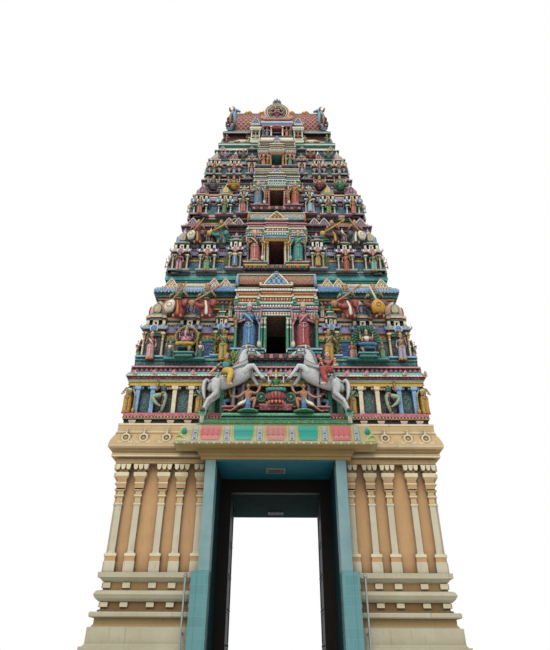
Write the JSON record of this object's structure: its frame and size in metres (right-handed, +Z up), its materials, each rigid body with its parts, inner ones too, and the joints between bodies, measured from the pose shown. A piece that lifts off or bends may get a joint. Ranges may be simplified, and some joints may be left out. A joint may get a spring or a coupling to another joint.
{
  "type": "gopuram",
  "caption": "Tiered temple gateway tower: moulded base with a passage, stepped storeys with shrines, statues over the portal, barrel vault with ridge finials.",
  "frame": {"origin": "on the ground under the middle of the passage, at the centre of the base", "axes": "+Z up, the front with the large statues faces -Y, +X to the viewer's right"},
  "size_m": [8.264, 6.88, 22.9],
  "materials": {
    "plaster": "lime plaster, cream paint, weathered",
    "wall_paint": "lime plaster, ochre and cream paint",
    "portal_paint": "satin enamel on plaster, blue-grey",
    "floor_stone": "honed granite",
    "door_timber": "dark oiled teak",
    "post_steel": "brushed stainless steel",
    "tower_paint": "painted stucco in many colours",
    "statue_paint": "painted stucco statues",
    "finial_brass": "gilded copper"
  },
  "bodies": {
    "tower": {"plinth_left": "plaster", "plinth_right": "plaster", "front_wall_left": "wall_paint", "front_wall_right": "wall_paint", "back_wall_left": "wall_paint", "back_wall_right": "wall_paint", "side_wall_left": "wall_paint", "side_wall_right": "wall_paint", "passage_wall_left": "portal_paint", "passage_wall_right": "portal_paint", "portal_front": "portal_paint", "portal_back": "portal_paint", "passage_floor": "floor_stone", "door_frame": "door_timber", "post_left": "post_steel", "post_right": "post_steel", "ground_cornice": "plaster", "canopy_front": "tower_paint", "canopy_back": "tower_paint", "statue_group_front": "statue_paint", "statue_group_back": "statue_paint", "horse_front_left": "statue_paint", "horse_front_right": "statue_paint", "horse_back_left": "statue_paint", "horse_back_right": "statue_paint", "frieze_walls": "tower_paint", "frieze_cornice": "tower_paint", "tier1_walls": "tower_paint", "tier1_shrines_left": "tower_paint", "tier1_shrines_right": "tower_paint", "tier1_cornice": "tower_paint", "tier2_walls": "tower_paint", "tier2_shrines_left": "tower_paint", "tier2_shrines_right": "tower_paint", "tier2_cornice": "tower_paint", "tier3_walls": "tower_paint", "tier3_shrines_left": "tower_paint", "tier3_shrines_right": "tower_paint", "tier3_cornice": "tower_paint", "tier4_walls": "tower_paint", "tier4_shrines_left": "tower_paint", "tier4_shrines_right": "tower_paint", "tier4_cornice": "tower_paint", "attic_walls": "tower_paint", "attic_eave": "tower_paint", "roof_vault": "tower_paint", "gable_left": "tower_paint", "gable_right": "tower_paint", "arch_front": "tower_paint", "arch_back": "tower_paint", "ridge_finials": "finial_brass"},
    "leaf_left": {"door_leaf_left": "door_timber"},
    "leaf_right": {"door_leaf_right": "door_timber"}
  },
  "joints": [
    {"name": "left_leaf_swing", "type": "hinge", "parent": "tower", "child": "leaf_left", "pos_m": [-1.22, -1.19, 0.08], "axis": [0, 0, 1], "range_deg": [-90, 0]},
    {"name": "right_leaf_swing", "type": "hinge", "parent": "tower", "child": "leaf_right", "pos_m": [1.22, -1.19, 0.08], "axis": [0, 0, 1], "range_deg": [0, 90]}
  ]
}
